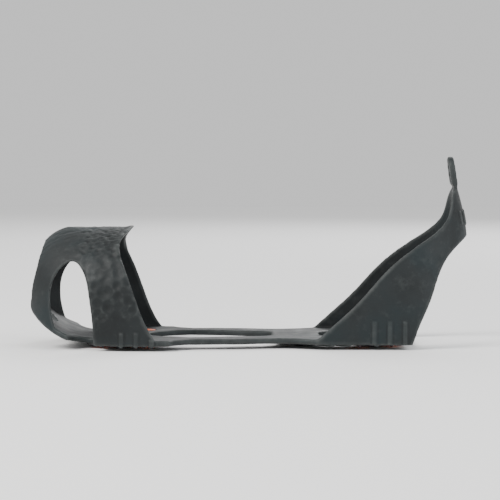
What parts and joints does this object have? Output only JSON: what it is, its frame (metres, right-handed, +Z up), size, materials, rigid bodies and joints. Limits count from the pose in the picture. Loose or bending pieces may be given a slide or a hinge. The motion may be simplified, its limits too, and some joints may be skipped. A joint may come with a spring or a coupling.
{
  "type": "shoe ice cleat",
  "caption": "Slip-on rubber ice cleat: a studded sole web with a toe cage, arch rails and a heel strap with a pull tab, shown in its worn shape.",
  "frame": {"origin": "on the ground in the middle of the whole cleat's footprint, with the stud tips on the ground", "axes": "+X towards the heel, +Y across the sole, +Z up"},
  "size_m": [0.303, 0.1184, 0.1316],
  "materials": {
    "rubber": "matte moulded rubber with a fine hammered grain",
    "orange_plastic": "satin orange polymer",
    "steel": "turned steel",
    "carbide": "ground sintered carbide"
  },
  "bodies": {
    "forefoot": {"harness_forefoot": "rubber", "stud_housing_ball_1": "orange_plastic", "stud_jacket_ball_1": "steel", "stud_pin_ball_1": "carbide", "stud_housing_ball_2": "orange_plastic", "stud_jacket_ball_2": "steel", "stud_pin_ball_2": "carbide", "stud_housing_ball_3": "orange_plastic", "stud_jacket_ball_3": "steel", "stud_pin_ball_3": "carbide", "stud_housing_ball_4": "orange_plastic", "stud_jacket_ball_4": "steel", "stud_pin_ball_4": "carbide"},
    "heel": {"harness_heel": "rubber", "stud_housing_heel_1": "orange_plastic", "stud_jacket_heel_1": "steel", "stud_pin_heel_1": "carbide", "stud_housing_heel_2": "orange_plastic", "stud_jacket_heel_2": "steel", "stud_pin_heel_2": "carbide", "stud_housing_heel_3": "orange_plastic", "stud_jacket_heel_3": "steel", "stud_pin_heel_3": "carbide", "stud_housing_heel_4": "orange_plastic", "stud_jacket_heel_4": "steel", "stud_pin_heel_4": "carbide"},
    "strap": {"heel_strap": "rubber"},
    "tab": {"pull_tab": "rubber"}
  },
  "joints": [
    {"name": "ball_flex", "type": "hinge", "parent": "forefoot", "child": "heel", "pos_m": [-0.04195, 0, 0.0074], "axis": [0, -1, 0], "range_deg": [0, 35], "stiffness_Nm_per_rad": 1},
    {"name": "strap_fold", "type": "hinge", "parent": "heel", "child": "strap", "pos_m": [0.12805, 0, 0.046], "axis": [0, 1, 0], "range_deg": [0, 50], "stiffness_Nm_per_rad": 0.4},
    {"name": "tab_fold", "type": "hinge", "parent": "strap", "child": "tab", "pos_m": [0.14485, 0, 0.11075], "axis": [0, 1, 0], "range_deg": [0, 75], "stiffness_Nm_per_rad": 0.02}
  ]
}
